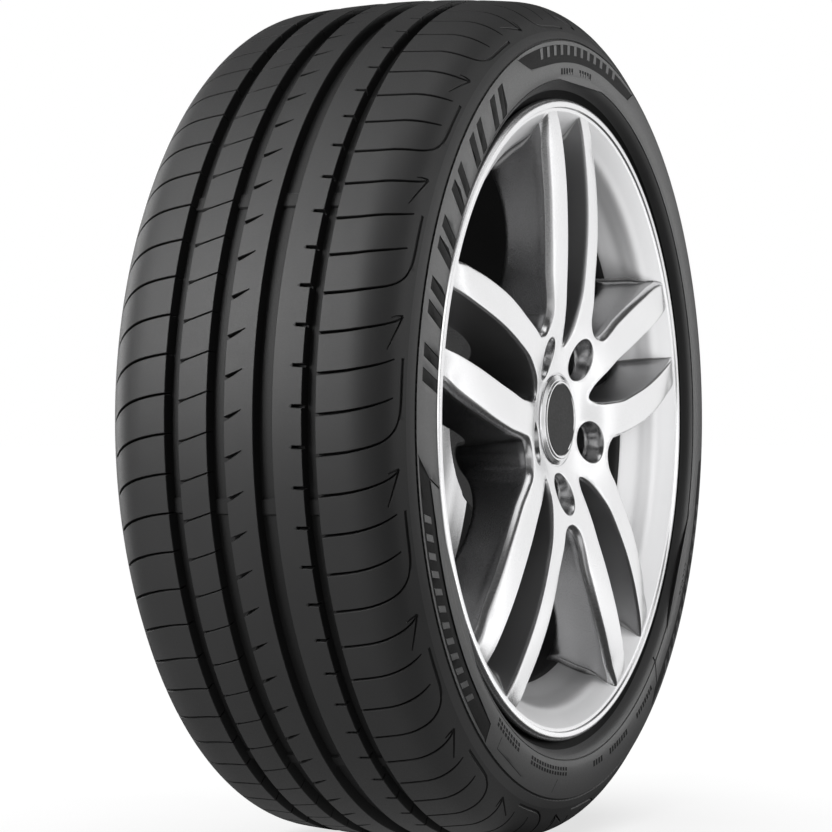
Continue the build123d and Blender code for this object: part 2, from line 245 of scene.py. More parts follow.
def tread_cuts():
    """Every sipe, notch and slot of one tile: (line in mm, half widths, depths, wall)."""
    cuts = []

    def cut(p, pts, half, depth, wall=0.3):
        line = smooth_line([(l, (p + d) * K) for l, d in pts], 3)
        u = np.linspace(0, 1, len(line))
        cuts.append((line, np.interp(u, np.linspace(0, 1, len(half)), half),
                     np.interp(u, np.linspace(0, 1, len(depth)), depth), wall))

    for p, kind in PITCHES:
        # outer shoulder slot from the outer groove down over the shoulder
        if kind == "D":
            cut(p, [(-54, -0.05), (-68, 0.18), (-80, 0.45), (-95, 1.05), (-103, 1.6), (-108.5, 2.3),
                    (-113, 3.3), (-116, 4.7)], [1.05, 0.95, 0.9, 0.8, 0.7, 0.65, 0.6, 0.6],
                [6.5, 6, 5.5, 4, 2.6, 2, 1.4, 1.1])
            cut(p, [(-114.6, 4.0), (-116.4, 5.2), (-117.1, 7.0), (-117.2, 9.5), (-117.2, 12.4)],
                [0.5, 0.9, 1.0, 1.0, 0.9], [0.9, 1.0, 1.0, 1.0, 0.8])
        elif kind == "A":
            cut(p, [(-54, -0.05), (-68, 0.18), (-80, 0.45), (-95, 1.05), (-104, 1.6), (-110, 2.15),
                    (-114.3, 2.75)], [1.05, 0.95, 0.9, 0.8, 0.7, 0.65, 0.7], [6.5, 6, 5.5, 4, 2.6, 1.8, 1.2])
            cut(p, [(-114.5, 2.8), (-111.4, 1.3), (-108.0, -0.3), (-105.0, -1.7)], [0.75, 0.55, 0.5, 0.35],
                [1.2, 1.1, 1.0, 0.7], 0.2)
            cut(p, [(-114.3, 2.9), (-110, 2.75), (-106.2, 2.45)], [0.8, 0.5, 0.2], [1.2, 1.0, 0.6], 0.15)
        else:
            cut(p, [(-54, -0.05), (-68, 0.18), (-80, 0.45), (-95, 1.05), (-104, 1.6), (-110.6, 2.15)],
                [1.05, 0.95, 0.9, 0.8, 0.65, 0.4], [6.5, 6, 5.5, 4, 2.6, 1.2])
        # notch of the rib beside the outer groove
        cut(p, [(-49.5, 1.0), (-44, 1.02), (-39.4, 1.06)], [1.3, 1.25, 1.05], [5.5, 5.5, 5.0], 0.35)
        # wedge of the middle rib
        cut(p, [(14.0, -0.74), (8, -0.28), (3, 0.17), (-1.6, 0.6)], [1.55, 1.25, 0.75, 0.15],
            [5.5, 5.5, 4, 1.5], 0.35)
        # sipe of the inner rib, with a small chamfered mouth at its inner end
        cut(p, [(50.0, 1.36), (40, 1.96), (32, 2.44), (22.5, 3.0)], [0.5, 0.45, 0.45, 0.45], [5, 5, 5, 5], 0.15)
        cut(p, [(49.5, 1.42), (45, 1.7), (41, 1.93)], [1.7, 1.0, 0.3], [1.8, 1.1, 0.4], 0.9)
        # inner shoulder slot
        cut(p, [(56.0, 2.68), (68, 2.4), (80, 1.95), (90, 1.35), (100, 0.5), (108, -0.35), (115, -0.9)],
            [0.7, 0.75, 0.85, 0.95, 0.9, 0.75, 0.5], [6.5, 6, 5.5, 5, 4, 2.5, 1.2])
    return cuts


def tread_tile():
    cuts = tread_cuts()
    rows = []
    for a, b in GROOVES:
        rows += [a - CHAMFER, a, a + WALL, b - WALL, b, b + CHAMFER]
    grid = [x for x in np.r_[np.arange(-EDGE_L, -84, 3.4), np.arange(-82, 83, 5.0), np.arange(86, EDGE_L, 3.9)]
            if all(abs(x - q) > 1.6 for q in rows)]
    rows = sorted(set(rows + grid + [-EDGE_L, EDGE_L]))
    pts, edges = [], []

    def chain(line, closed=False):
        n0 = len(pts)
        pts.extend([tuple(q) for q in line])
        edges.extend([(n0 + i, n0 + i + 1) for i in range(len(line) - 1)])
        if closed:
            edges.append((n0 + len(line) - 1, n0))

    low = [(l, (seam(l) - TILE) * K) for l in rows]
    high = [(l, seam(l) * K) for l in rows]
    chain(low)
    chain(high)
    groove_rows = [q for a, b in GROOVES for q in (a - CHAMFER, a, a + WALL, b - WALL, b, b + CHAMFER)]
    steps = int(TILE / 1.25)
    for l in rows:
        if l in groove_rows or abs(l) == EDGE_L:
            chain([(l, (seam(l) - TILE + 1.25 * i) * K) for i in range(steps + 1)])
    # outlines of the cuts
    for line, half, depth, wall in cuts:
        for grow in (CHAMFER * 0.8, 0.0, -wall):
            chain(strip_outline(line, half, grow), True)
    # tread wear bars across the groove floors
    bars = []
    for a, b in GROOVES:
        for grow in (0.0, 1.2):
            c = -10.9 * K
            box = [(a + WALL, c - 5 - grow), (b - WALL, c - 5 - grow), (b - WALL, c + 5 + grow), (a + WALL, c + 5 + grow)]
            chain(box, True)
        bars.append((a, b, c))
    # plain grid for the curvature, kept clear of the outlines
    free = []
    for l in rows:
        if l in groove_rows or abs(l) == EDGE_L:
            continue
        for i in range(1, steps):
            free.append((l, (seam(l) - TILE + 1.25 * i) * K))
    free = np.array(free)
    keep = np.ones(len(free), bool)
    for line, half, depth, wall in cuts:
        d, h = line_distance(free, line, half)
        keep &= d > h + CHAMFER + 0.7
    pts.extend([tuple(q) for q in free[keep]])
    v, f = triangulate(pts, edges)
    mid = v[f].mean(1)
    inside = (mid[:, 1] > (seam(mid[:, 0]) - TILE) * K) & (mid[:, 1] < seam(mid[:, 0]) * K)
    inside &= np.abs(mid[:, 0]) < EDGE_L
    f = f[inside]

    def depth_at(q):
        out = np.zeros(len(q))
        floor = np.zeros(len(q))
        for a, b in GROOVES:
            e = np.minimum(q[:, 0] - a, b - q[:, 0])
            out = np.maximum(out, np.interp(e, [-CHAMFER, 0, WALL], [0, CHAMFER, GROOVE_DEPTH]))
            floor = np.maximum(floor, (e > WALL - 1e-3).astype(float))
        for line, half, depth, wall in cuts:
            d, h = line_distance(q, line, half)
            near = d < h + 2
            if not near.any():
                continue
            _, deep = line_distance(q[near], line, depth)
            e = (h - d)[near]
            w = np.clip(e / wall, 0, 1)
            c = 0.3
            val = np.where(e >= -1e-3, c + (deep - c) * w, c * np.clip(1 + e / (CHAMFER * 0.8), 0, 1))
            out[near] = np.maximum(out[near], val)
        for a, b, c in bars:
            e = np.clip((6.2 - np.abs(q[:, 1] - c)) / 1.2, 0, 1)
            on = (q[:, 0] > a + WALL - 0.01) & (q[:, 0] < b - WALL + 0.01) & (floor > 0)
            out[on] -= 1.6 * e[on]
        return out

    dv = depth_at(v)
    dm = depth_at(v[f].mean(1))
    steep = (dv[f].max(1) - dv[f].min(1)) > 0.25
    # material 1 is a darker, rougher rubber on the cuts, chamfers and groove walls and floors: painted shade in the
    # recesses
    mat = np.where((dm > 0.2) | steep, 1, 0)
    return v, f, dv, mat


# ---- outer sidewall --------------------------------------------------------------
KS = 4.8                 # millimetres of sidewall to a degree
GUARD_R = 249.0          # where the rim guard turns in behind the rim's lip
PANEL, INSET = 0.45, 0.5


def quad(a0, a1, r0, r1, lean0=0.0, lean1=0.0):
    """Four corners on the sidewall from two angles at the outer radius r1, leaning by r0."""
    return [((180 - a0) * KS, S_OF_R(r1)), ((180 - a1) * KS, S_OF_R(r1)),
            ((180 - a1 - lean1) * KS, S_OF_R(r0)), ((180 - a0 - lean0) * KS, S_OF_R(r0))]


def shrink(poly, d):
    """Convex polygon moved inwards by d."""
    p = np.array(poly, float)
    area = np.sum(p[:, 0] * np.roll(p[:, 1], -1) - np.roll(p[:, 0], -1) * p[:, 1])
    if area < 0:
        p = p[::-1]
    e = np.roll(p, -1, 0) - p
    n = np.c_[-e[:, 1], e[:, 0]] / np.linalg.norm(e, axis=1)[:, None]
    out = []
    for i in range(len(p)):
        n0, n1 = n[i - 1], n[i]
        m = np.array([n0, n1])
        out.append(np.linalg.solve(m, [n0 @ p[i] + d, n1 @ p[i] + d]))
    return np.array(out)


def inside_by(poly, q):
    """How far each point lies inside a convex polygon."""
    p = shrink(poly, 0.0)
    e = np.roll(p, -1, 0) - p
    n = np.c_[-e[:, 1], e[:, 0]] / np.linalg.norm(e, axis=1)[:, None]
    return np.min(np.einsum("pk,npk->np", n, q[:, None, :] - p[None]), axis=1)


def sidewall_marks():
    """Panels, bars and small blocks of the outer sidewall: (polygon, height, inset, material)."""
    marks = []
    for a in (184.5, 304.5, 64.5):
        # dark recessed panel with slanted ends, and a row of plain slanted ribs in it
        lean = 4.0 if a == 184.5 else 3.0
        tail = -1.0 if a != 64.5 else -3.8
        marks.append((quad(a, a + 49, 268.6, 281.6, lean, tail), -PANEL, INSET, 1))
        for i in range(12):
            b = a + 8.5 + i * 2.75
            marks.append((quad(b, b + 1.15, 271.4, 279.2, 0.9, 0.9), 0.4, 0.3, 2))
    for i in range(6):
        # pairs of broad slanted bars on the plain band
        for j in range(2):
            b = 120.4 + i * 9.72 + j * 3.5
            marks.append((quad(b, b + 2.0, 255.5, 277.0, 1.5, 1.5), -0.4, 0.4, 3))
    for a, n, r in ((234.5, 9, 262.6), (234.5, 9, 258.8), (249.5, 14, 263.6), (249.5, 14, 259.8), (276.5, 4, 262.0),
                    (284.0, 8, 262.0), (297.5, 8, 262.0), (327.0, 6, 262.0), (84.5, 5, 259.5), (92.5, 5, 259.5)):
        # small blocks near the rim
        for i in range(n):
            b = a + i * 1.12
            h = 2.6 if r in (262.6, 258.8, 263.6, 259.8) else 4.6
            marks.append((quad(b, b + 0.72, r - h / 2, r + h / 2), -0.3, 0.14, 3))
    return marks


def sidewall_lines():
    """Thin grooves of the outer sidewall: (line, half width, depth)."""
    out = []
    for a in (184.5, 304.5):
        out.append((np.array([((180 - a - 4.1) * KS, S_OF_R(268.4)), ((180 - a - 6.6) * KS, S_OF_R(250.6))]), 0.75, 0.7))
    out.append((np.array([((180 - 237.2) * KS, S_OF_R(276.0)), ((180 - 237.2) * KS, S_OF_R(266.5))]), 0.28, 0.25))
    out.append((np.array([((180 - 237.2) * KS, S_OF_R(276.0)), ((180 - 247.5) * KS, S_OF_R(277.0))]), 0.28, 0.25))
    out.append((np.array([((180 - 260.0) * KS, S_OF_R(278.0)), ((180 - 261.3) * KS, S_OF_R(268.0))]), 0.28, 0.25))
    return out


def sidewall_patch():
    marks, lines = sidewall_marks(), sidewall_lines()
    s0, s1 = EDGE_L, S_OF_R(GUARD_R)
    ring, line = S_OF_R(282.9), S_OF_R(253.6)
    rings = [ring - 1.0, ring - 0.55, ring + 0.55, ring + 1.0, line - 0.6, line - 0.25, line + 0.25, line + 0.6]
    grid = [x for x in np.linspace(s0, s1, 20)[1:-1] if all(abs(x - q) > 1.1 for q in rings)]
    pts, edges = [], []

    def chain(path, closed=False):
        n0 = len(pts)
        pts.extend([tuple(q) for q in path])
        edges.extend([(n0 + i, n0 + i + 1) for i in range(len(path) - 1)])
        if closed:
            edges.append((n0 + len(path) - 1, n0))

    turns = np.arange(-180, 180.01, 1.25)
    for q in [s0, s1] + rings:
        chain([(t * KS, q) for t in turns])
    for t in (-180.0, 180.0):
        chain([(t * KS, q) for q in sorted([s0, s1] + rings + grid)])
    for poly, height, inset, _ in marks:
        chain(poly, True)
        chain(shrink(poly, inset), True)
    for path, half, _ in lines:
        for grow in (0.0, -half * 0.6):
            chain(strip_outline(path, [half] * len(path), grow), True)
    free = np.array([(t * KS, q) for q in grid for t in turns[1:-1]])
    keep = np.ones(len(free), bool)
    for poly, height, inset, _ in marks:
        d = inside_by(poly, free)
        keep &= (d < -0.9) | (d > inset + 0.9)
    for path, half, _ in lines:
        keep &= line_distance(free, path)[0] > half + 0.8
    pts.extend([tuple(q) for q in free[keep]])
    v, f = triangulate(pts, edges)

    def relief(q):
        h = np.zeros(len(q))
        for poly, height, inset, _ in marks:
            near = (np.abs(q[:, 0] - np.mean([p[0] for p in poly])) < 260)
            if near.any():
                h[near] += height * np.clip(inside_by(poly, q[near]) / inset, 0, 1)
        for path, half, deep in lines:
            d = line_distance(q, path)[0]
            h = np.minimum(h, -deep * np.clip((half - d) / (half * 0.6), 0, 1) + np.where(d < half, 0, h))
        e = np.abs(q[:, 1] - ring)
        h -= np.interp(e, [0.55, 1.0], [1.1, 0.0])
        e = np.abs(q[:, 1] - line)
        h -= np.interp(e, [0.25, 0.6], [0.5, 0.0])
        return h

    h = relief(v)
    mid = v[f].mean(1)
    mat = np.full(len(f), 2)
    for poly, height, inset, kind in marks:
        mat[inside_by(poly, mid) > 0.0] = {1: 4, 2: 5, 3: 4}[kind]
    # the ring groove, the fine line and the thin grooves take material 1, the darker rubber that paints shade into them
    mat[np.abs(mid[:, 1] - ring) < 0.75] = 1
    mat[np.abs(mid[:, 1] - line) < 0.4] = 1
    for path, half, _ in lines:
        mat[line_distance(mid, path)[0] < half] = 1
    return on_tyre(-v[:, 1], v[:, 0] / KS, -h), f, mat


def build_tyre(mats):
    p = Patch()
    v, f, d, m = tread_tile()
    for i in range(int(360 / TILE)):
        p.add(on_tyre(v[:, 0], v[:, 1] / K + TILE * i, d), f[:, [0, 2, 1]], m)
    angles = np.arange(0, 360, 1.25)
    v, f, m = sidewall_patch()
    p.add(v, f[:, [0, 2, 1]], m)
    low = list(np.linspace(S_OF_R(GUARD_R), S[-1], 9))
    # inner sidewall: plain, with the ring groove and three fine ribs
    ring = S_OF_R(282.9)
    ribs = [S_OF_R(r) for r in (274.0, 271.0, 268.0)]
    rows = list(np.linspace(EDGE_L, S_OF_R(GUARD_R), 16))
    rows = [q for q in rows if abs(q - ring) > 1.4 and all(abs(q - b) > 1.2 for b in ribs)]
    rows = [(q, 0.0) for q in rows] + [(ring - 1.0, 0), (ring - 0.55, 1.1), (ring + 0.55, 1.1), (ring + 1.0, 0)]
    for b in ribs:
        rows += [(b - 0.8, 0), (b - 0.35, -0.35), (b + 0.35, -0.35), (b + 0.8, 0)]
    for side, rows in ((-1, [(q, 0.0) for q in low]), (1, sorted(rows + [(q, 0.0) for q in low[1:]]))):
        sec = []
        for q, dd in rows:
            y = np.interp(q, S, SY) - dd * np.interp(q, S, NY)
            r = np.interp(q, S, SR) - dd * np.interp(q, S, NR)
            sec.append((r, y * side))
        sec += [(r, y * side) for r, y in BEAD[1:]]
        # on the outer side, all but the first two bands past the rim guard take material 4, the near-black rubber that
        # paints the shade in the gap behind the rim's lip
        mat = np.where(np.arange(len(sec) - 1) > 1, 4, 2) if side < 0 else 2
        p.turned(sec if side < 0 else sec[::-1], angles, mat)
    inner = smooth_line([(r, y) for r, y in CASING], 1)
    inner = np.concatenate([inner, (inner * [1, -1])[::-1][1:]])
    p.turned([tuple(q) for q in inner], angles, 3)
    return p.make("tyre_body", mats, 30.0)


# ---- alloy wheel ------------------------------------------------------------------
FACE = [(36.0, -102.0), (41.0, -102.9), (48.0, -104.9), (57.0, -107.9), (70.0, -111.9), (85.0, -115.0),
        (100.0, -117.0), (125.0, -118.7), (150.0, -119.2), (175.0, -118.5), (200.0, -116.4),
        (215.0, -114.4), (226.0, -112.0), (231.5, -110.5), (236.0, -109.0)]
BACK = [(76.0, -47.5), (86.0, -56.0), (102.0, -70.0), (125.0, -80.0), (150.0, -82.0), (172.0, -78.0),
        (190.0, -70.0), (204.0, -60.0), (210.0, -56.0)]
FRONT_WALL = [(230.4, -110.75), (226.0, -107.6), (220.6, -103.5), (215.3, -99.3), (211.2, -93.2), (207.6, -87.3),
              (203.6, -82.0), (200.4, -77.9), (199.3, -76.4), (198.3, -74.7), (197.1, -72.4), (196.0, -68.0),
              (195.2, -58.0), (194.0, -48.0), (192.2, -40.0), (191.2, -34.0)]
WIDE = [(82.5, 0.0), (86.5, 10.5), (98.4, 17.7), (116.8, 27.4), (143.5, 43.7), (164.8, 58.9), (185.5, 74.8),
        (209.1, 95.7), (230.0, 115.5)]
SLIM = [(56.0, 0.0), (61.8, 5.2), (69.5, 8.5), (84.2, 12.4), (98.7, 15.8), (118.8, 17.6), (148.7, 19.5),
        (199.0, 20.3), (229.0, 21.0), (250.0, 21.5)]
PAIR_0, HALF = 18.0, math.radians(36.0)
PCD_R, WELL_R, MOUTH, HOLE_R = 56.0, 15.3, 1.2, 7.5

_f = smooth_line(FACE, 8)
_b = smooth_line(BACK, 8)
_wall = smooth_line(FRONT_WALL, 6)


def face_y(r):
    return np.interp(r, _f[:, 0], _f[:, 1])


def back_y(r):
    return np.where(r < 72.0, -45.0, np.interp(r, np.r_[72.0, _b[:, 0]], np.r_[-45.0, _b[:, 1]]))


def barrel_r(y):
    """Radius of the rim's inner wall on the front half."""
    return np.interp(y, _wall[:, 1], _wall[:, 0])


def half_outline(half):
    """Dense half outline, from the tip on the window's axis outwards."""
    full = [(u, -v) for u, v in half[:0:-1]] + list(half)
    line = smooth_line(full, 10)
    return line[10 * (len(half) - 1):]


_slim = half_outline(SLIM)
_w = half_outline(WIDE)
_c, _s = math.cos(HALF), math.sin(HALF)
_wide = np.c_[_w[:, 0] * _c + _w[:, 1] * _s, _w[:, 0] * _s - _w[:, 1] * _c]


def polar_edge(line):
    r = np.hypot(line[:, 0], line[:, 1])
    a = np.arctan2(line[:, 1], line[:, 0])
    return r, a


_sr, _sa = polar_edge(_slim)
_wr, _wa = polar_edge(_wide)


def top_y(p):
    """Height of the front face, with each spoke's face falling away towards the wide window."""
    r, a = np.hypot(p[:, 0], p[:, 1]), np.arctan2(p[:, 1], p[:, 0])
    a0 = np.interp(r, _sr, _sa, left=0.0)
    a1 = np.interp(r, _wr, _wa, left=HALF)
    f = np.clip((a - a0) / np.maximum(a1 - a0, 1e-3), 0, 1)
    k = np.interp(r, [86, 120, 205, 228], [0, 1, 1, 0])
    k = k * k * (3 - 2 * k)
    return face_y(r) + k * (0.06 + 3.0 * f ** 1.7)


def resample(line, s):
    d = np.r_[0, np.cumsum(np.linalg.norm(np.diff(line, axis=0), axis=1))]
    d /= d[-1]
    return np.c_[np.interp(s, d, line[:, 0]), np.interp(s, d, line[:, 1])]


def shifted(line, d, tip):
    """Line moved to its left by d; tip is the direction of its normal at the start."""
    t = np.gradient(line, axis=0)
    t /= np.linalg.norm(t, axis=1)[:, None]
    n = np.c_[-t[:, 1], t[:, 0]]
    n[0] = tip
    return line + n * np.asarray(d)[:, None], n


def wall(line, spoke_left, across, r, deep, draft, tip):
    """Rows of points from the face's edge down a window's wall to the back, each ending in the rim."""
    sign = 1.0 if spoke_left else -1.0
    near = np.minimum(1.0, 0.45 + np.abs(across) / 30.0)
    levels = [(np.full(len(line), r * (1 - math.sin(a))), deep * (1 - math.cos(a)), 0.0)
              for a in np.radians((0, 15, 30, 45, 60, 75, 90))]
    for w in np.r_[0.02, 0.05, 0.09, 0.13, 0.17, 0.21, 0.25, 0.29, 0.34, 0.4, 0.47, 0.54, 0.62, 0.7, 0.78, 0.86, 0.92]:
        levels.append((-draft * near * w ** 1.15, deep, w))
    for a in np.radians((30, 60, 90)):
        levels.append((-draft * near + 3.0 * (1 - math.cos(a)), deep, 0.93 + 0.07 * math.sin(a)))
    n_main, n_arc = 60, 8
    s = np.linspace(0, 1, n_main) ** 1.2
    y_end = [-110.3 + drop + w * (50.0 - deep) for _, drop, w in levels]
    for _ in range(4):
        rows = []
        for (off, drop, w), y in zip(levels, y_end):
            rc = float(barrel_r(y)) + 0.1
            rho = 1.0 + 3.0 * min(1.0, w / 0.2)
            curve, n = shifted(line, sign * off, tip)
            inner = curve - sign * n * rho
            radius = np.hypot(inner[:, 0], inner[:, 1])
            i = int(np.argmax(radius > rc - rho))
            t = (rc - rho - radius[i - 1]) / (radius[i] - radius[i - 1])
            c = inner[i - 1] + t * (inner[i] - inner[i - 1])
            nn = n[i - 1] + t * (n[i] - n[i - 1])
            nn /= np.linalg.norm(nn)
            main = resample(np.vstack([curve[:i], c + sign * nn * rho]), s)
            a0 = math.atan2(*(sign * nn)[::-1])
            turn = (math.atan2(c[1], c[0]) - a0 + math.pi) % (2 * math.pi) - math.pi
            arc = [c + rho * np.array([math.cos(a0 + turn * k / n_arc), math.sin(a0 + turn * k / n_arc)])
                   for k in range(1, n_arc + 1)]
            rows.append(np.vstack([main, arc, arc[-1] * (1 + 2.0 / np.linalg.norm(arc[-1]))]))
        top = top_y(rows[0])
        under = back_y(np.hypot(rows[-1][:, 0], rows[-1][:, 1]))
        ys = [top + drop + w * (under - top - deep) for _, drop, w in levels]
        y_end = [float(y[-2]) for y in ys]
    return np.array(rows), np.array(ys)


def in_polygon(poly, q):
    x, y = q[:, 0], q[:, 1]
    inside = np.zeros(len(q), bool)
    for i in range(len(poly)):
        (x0, y0), (x1, y1) = poly[i - 1], poly[i]
        hit = ((y0 > y) != (y1 > y)) & (x < (x1 - x0) * (y - y0) / (y1 - y0 + 1e-12) + x0)
        inside ^= hit
    return inside


def fill_polygon(poly, step, clear):
    """Triangulated polygon with an even grid inside it."""
    poly = np.asarray(poly, float)
    lo, hi = poly.min(0), poly.max(0)
    g = np.array([(u + (0.5 * step if k % 2 else 0), v) for k, v in enumerate(np.arange(lo[1], hi[1], step * 0.87))
                  for u in np.arange(lo[0], hi[0], step)])
    g = g[in_polygon(poly, g)]
    g = g[line_distance(g, np.vstack([poly, poly[:1]]))[0] > clear]
    n = len(poly)
    v, f = triangulate(np.vstack([poly, g]), [(i, (i + 1) % n) for i in range(n)])
    d1, d2 = v[f[:, 1]] - v[f[:, 0]], v[f[:, 2]] - v[f[:, 0]]
    return v, f[in_polygon(poly, v[f].mean(1)) & (np.abs(d1[:, 0] * d2[:, 1] - d1[:, 1] * d2[:, 0]) > 1e-5)]


def grid_tris(rows, cols, flip=False):
    i, j = np.meshgrid(np.arange(rows - 1), np.arange(cols - 1), indexing="ij")
    a, b, c, d = i * cols + j, i * cols + j + 1, (i + 1) * cols + j + 1, (i + 1) * cols + j
    t = np.stack([np.stack([a, b, c], -1), np.stack([a, c, d], -1)], 2).reshape(-1, 3)
    return t[:, [0, 2, 1]] if flip else t


def spoked_disc(p):
    """Adds the disc with its spokes: half a pair, mirrored and turned five times."""
    half = Patch()

    def put(uv, y, tris, flip, mat=0):
        v = np.c_[uv[:, 0], y, uv[:, 1]]
        half.add(v, tris[:, [0, 2, 1]] if flip else tris, mat)

    axis = np.array([_c, _s])
    slim, slim_y = wall(_slim, True, _slim[:, 1], 2.2, 3.0, 4.0, (-1.0, 0.0))
    wide, wide_y = wall(_wide, False, _w[:, 1], 5.0, 10.0, 5.0, tuple(axis))
    # past the four bands of edge rounding, wide-window walls take material 2 and slim-window walls material 3: darker
    # silver that paints the shade on the window walls
    for rows, ys, flip, mat in ((slim, slim_y, False, 3), (wide, wide_y, True, 2)):
        k, n = ys.shape
        put(rows.reshape(-1, 2), ys.ravel(), grid_tris(k, n), flip,
            np.repeat(np.where(np.arange(k - 1) < 4, 0, mat), 2 * (n - 1)))
    # the spoke's end, inside the rim
    m = 6
    es, ew = slim[:, -1], wide[:, -1]
    q = np.linspace(0, 1, m)
    er = np.hypot(es[:, 0], es[:, 1])[:, None] * (1 - q) + np.hypot(ew[:, 0], ew[:, 1])[:, None] * q
    ea = np.arctan2(es[:, 1], es[:, 0])[:, None] * (1 - q) + np.arctan2(ew[:, 1], ew[:, 0])[:, None] * q
    ends = np.stack([er * np.cos(ea), er * np.sin(ea)], -1)
    ends[:, 0], ends[:, -1] = es, ew
    ends_y = np.array([[slim_y[i, -1] + (wide_y[i, -1] - slim_y[i, -1]) * q for q in np.linspace(0, 1, m)]
                       for i in range(len(slim))])
    ends_y[0], ends_y[-1] = top_y(ends[0]), back_y(np.hypot(ends[-1][:, 0], ends[-1][:, 1]))
    put(ends.reshape(-1, 2), ends_y.ravel(), grid_tris(len(slim), m), True)
    # bolt well: rounded mouth, stepped bore, cone seat and hole
    turn = np.linspace(0, math.pi, 25)
    a0 = HALF + math.pi
    ring = np.c_[np.cos(a0 + turn), np.sin(a0 + turn)]          # from the hub side round to the rim side
    centre = axis * PCD_R
    well, well_y = [], []
    mouth = top_y(centre + ring * (WELL_R + MOUTH))
    for al in (0, 25, 50, 75):
        a = math.radians(al)
        well.append(centre + ring * (WELL_R + MOUTH * (1 - math.sin(a))))
        well_y.append(mouth + MOUTH * (1 - math.cos(a)))
    for k in (0.3, 0.65, 0.92):
        well.append(centre + ring * (WELL_R - 2.0 * k))
        well_y.append(mouth + MOUTH + (-98.9 - mouth - MOUTH) * k)
    for radius, y in ((13.4, -98.9), (13.2, -98.6), (12.9, -98.5), (12.6, -98.3), (12.4, -97.9), (12.3, -97.0),
                      (12.1, -80.0), (12.0, -62.0), (11.9, -60.4), (11.5, -60.0), (7.5, -53.1), (7.5, -45.6),
                      (8.1, -45.0)):
        well.append(centre + ring * radius)
        well_y.append(np.full(len(ring), y))
    # the well takes material 1, a darker silver: painted shade inside the bolt well
    put(np.vstack(well), np.concatenate(well_y), grid_tris(len(well), len(ring)), False, 1)
    # centre bore with the cap's seat, snap groove and hub spigot bore
    sweep_a = np.linspace(0, HALF, 13)
    spoke_dir = np.c_[np.cos(sweep_a), np.sin(sweep_a)]
    bore = [(36.0, -102.0), (35.3, -101.85), (35.0, -101.45), (30.0, -101.45), (30.0, -91.0), (32.0, -91.0),
            (32.0, -84.0), (30.0, -84.0), (30.0, -70.0), (33.3, -70.0), (33.3, -46.2), (34.2, -45.0)]
    put(np.vstack([spoke_dir * r for r, _ in bore]), np.repeat([y for _, y in bore], len(sweep_a)),
        grid_tris(len(bore), len(sweep_a)), False, 0)

    def span(a, b, step):
        n = max(2, int(np.linalg.norm(np.subtract(b, a)) / step) + 1)
        return np.array([np.array(a) + (np.array(b) - a) * q for q in np.linspace(0, 1, n)])

    # front face
    loop = [span(spoke_dir[0] * 36.0, slim[0, 0], 3.0)[:-1], slim[0][:-1], ends[0], wide[0][::-1][1:],
            span(wide[0, 0], centre + ring[-1] * (WELL_R + MOUTH), 2.0)[1:-1],
            (centre + ring * (WELL_R + MOUTH))[::-1],
            span(centre + ring[0] * (WELL_R + MOUTH), spoke_dir[-1] * 36.0, 1.2)[1:-1], (spoke_dir * 36.0)[::-1][:-1]]
    v, f = fill_polygon(np.vstack(loop), 4.0, 1.6)
    put(v, top_y(v), f, False)
    # back, with the mounting face round the bolt holes
    b = slim.shape[0] - 1
    loop = [span(spoke_dir[0] * 34.2, slim[b, 0], 3.0)[:-1], slim[b][:-1], ends[b], wide[b][::-1][1:],
            span(wide[b, 0], centre + ring[-1] * 8.1, 3.0)[1:-1], (centre + ring * 8.1)[::-1],
            span(centre + ring[0] * 8.1, spoke_dir[-1] * 34.2, 2.0)[1:-1], (spoke_dir * 34.2)[::-1][:-1]]
    v, f = fill_polygon(np.vstack(loop), 4.5, 1.6)
    put(v, back_y(np.hypot(v[:, 0], v[:, 1])), f, True)
    hv, ht, hm = np.concatenate(half.v), np.concatenate(half.t), np.concatenate(half.m)
    for i in range(5):
        a = math.radians(PAIR_0 + 72 * i)
        for mirror in (1, -1):
            u, w = hv[:, 0], hv[:, 2] * mirror
            v = np.c_[u * math.cos(a) - w * math.sin(a), hv[:, 1], u * math.sin(a) + w * math.cos(a)]
            p.add(v, ht if mirror > 0 else ht[:, [0, 2, 1]], hm)


def arc3(a, b, c, n):
    """Points on the circle through three points, from a to c."""
    a, b, c = (np.array(q, float) for q in (a, b, c))
    m = 2 * np.array([b - a, c - a])
    o = np.linalg.solve(m, [b @ b - a @ a, c @ c - a @ a])
    r = np.linalg.norm(a - o)
    t0, tm, t1 = (math.atan2(*(q - o)[::-1]) for q in (a, b, c))
    wrap = lambda t: (t + math.pi) % (2 * math.pi) - math.pi
    d = wrap(tm - t0) + wrap(t1 - tm)
    return [tuple(o + r * np.array([math.cos(t0 + d * k / n), math.sin(t0 + d * k / n)])) for k in range(n + 1)]


